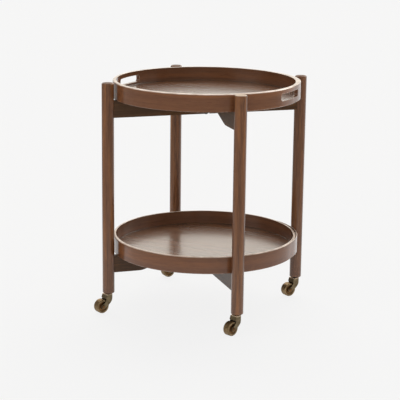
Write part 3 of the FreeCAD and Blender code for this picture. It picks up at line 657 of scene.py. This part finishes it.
def reflected(tree):
    """1 for a ray that comes from a glossy or a clear surface, else 0."""
    ray = tree.add("ShaderNodeLightPath").outputs
    return tree.maths("MAXIMUM", ray["Is Glossy Ray"], ray["Is Transmission Ray"])


def stage_piece(name, corners, faces, material):
    mesh = bpy.data.meshes.new(name)
    mesh.from_pydata(corners, [], faces)
    mesh.materials.append(material)
    piece = bpy.data.objects.new(name, mesh)
    bpy.context.scene.collection.objects.link(piece)
    return piece


def studio_floor():
    """Matte pale floor, part of it plain so that the table's shadow stays light.

    Reflections see it pale near the table and towards the backdrop, and as dim as the room
    elsewhere.
    """
    material, tree = new_material("studio floor")
    matte = tree.add("ShaderNodeBsdfPrincipled", {"Base Color": PALE, "Roughness": 1.0,
                                                  "Specular IOR Level": 0.0})
    place = tree.place()
    x, y, _ = tree.split(place)
    turn = tree.maths("ARCTAN2", x, y)
    lit = tree.maths("MULTIPLY",
                     tree.ramp(turn, BACKDROP_FROM - SOFT_LEFT, BACKDROP_FROM + SOFT_LEFT),
                     tree.ramp(turn, BACKDROP_TO, BACKDROP_TO + SOFT_RIGHT, 1.0, 0.0))
    near = tree.ramp(tree.vectors("LENGTH", place), ROOM_FROM, ROOM_TO, 1.0, 0.0)
    mirrored = reflected(tree)
    dimmed = tree.mix(tree.maths("MAXIMUM", lit, near), ROOM, PALE)
    seen = tree.add("ShaderNodeEmission", {"Color": tree.mix(mirrored, FLOOR_SEEN, dimmed),
                                           "Strength": 1.0})
    camera = tree.add("ShaderNodeLightPath").outputs["Is Camera Ray"]
    share = tree.maths("MULTIPLY", camera, PLAIN_SHARE)
    share = tree.maths("MULTIPLY_ADD", mirrored, MIRRORED_SHARE, share, clamp=True)
    finish_material(tree, tree.add("ShaderNodeMixShader", {0: share, 1: matte.outputs[0],
                                                           2: seen.outputs[0]}))
    r = FLOOR_REACH
    stage_piece("studio floor", [(-r, -r, 0), (r, -r, 0), (r, r, 0), (-r, r, 0)],
                [(0, 1, 2, 3)], material)


def studio_backdrop():
    """Pale wall behind the table: an upright arc about the origin, swept from the floor up.

    Only reflections see it, so it never stands between the camera and the table.
    """
    material, tree = new_material("studio backdrop")
    finish_material(tree, tree.add("ShaderNodeEmission", {"Color": WARM_PALE,
                                                          "Strength": BACKDROP_STRENGTH}))
    turns = np.linspace(BACKDROP_FROM, BACKDROP_TO, BACKDROP_PANELS + 1)
    ring = np.stack([BACKDROP_RADIUS * np.sin(turns), BACKDROP_RADIUS * np.cos(turns)], axis=1)
    corners = np.concatenate([np.insert(ring, 2, level, axis=1)
                              for level in (0, BACKDROP_HEIGHT)])
    first = np.arange(BACKDROP_PANELS)
    above = first + len(turns)
    faces = np.stack([first, first + 1, above + 1, above], axis=1)
    wall = stage_piece("studio backdrop", corners.tolist(), faces.tolist(), material)
    wall.visible_camera = False
    wall.visible_diffuse = False
    wall.visible_shadow = False


def studio_sky():
    """Even light for the object, the dim room for its reflections, and a pale sky to look at."""
    world = bpy.data.worlds.new("studio")
    bpy.context.scene.world = world
    world.use_nodes = True
    world.node_tree.nodes.clear()
    sky = Tree(world.node_tree)
    even = sky.add("ShaderNodeBackground", {"Color": (1, 1, 1, 1), "Strength": SKY_STRENGTH})
    room = sky.add("ShaderNodeBackground", {"Color": ROOM, "Strength": 1.0})
    seen = sky.add("ShaderNodeBackground", {"Color": PALE, "Strength": 1.0})
    camera = sky.add("ShaderNodeLightPath").outputs["Is Camera Ray"]
    light = sky.add("ShaderNodeMixShader", {0: reflected(sky), 1: even.outputs[0],
                                            2: room.outputs[0]})
    both = sky.add("ShaderNodeMixShader", {0: camera, 1: light.outputs[0], 2: seen.outputs[0]})
    sky.add("ShaderNodeOutputWorld", {"Surface": both.outputs[0]})


def studio_lamps():
    for name, azimuth, height, strength, size in LAMPS:
        light = bpy.data.lights.new(name, "SUN")
        light.energy = strength
        light.angle = math.radians(size)
        light.color = LAMP_TINT
        lamp = bpy.data.objects.new(name, light)
        a, e = math.radians(azimuth), math.radians(height)
        back = Vector((math.sin(a) * math.cos(e), -math.cos(a) * math.cos(e), math.sin(e)))
        lamp.rotation_mode = "QUATERNION"
        lamp.rotation_quaternion = (-back).to_track_quat("-Z", "Y")
        bpy.context.scene.collection.objects.link(lamp)


photo_camera()
coat_wood()
coat_metal()
smooth_solids(smoothing_group())
studio_floor()
studio_backdrop()
studio_sky()
studio_lamps()
bpy.context.scene.view_settings.view_transform = "Standard"
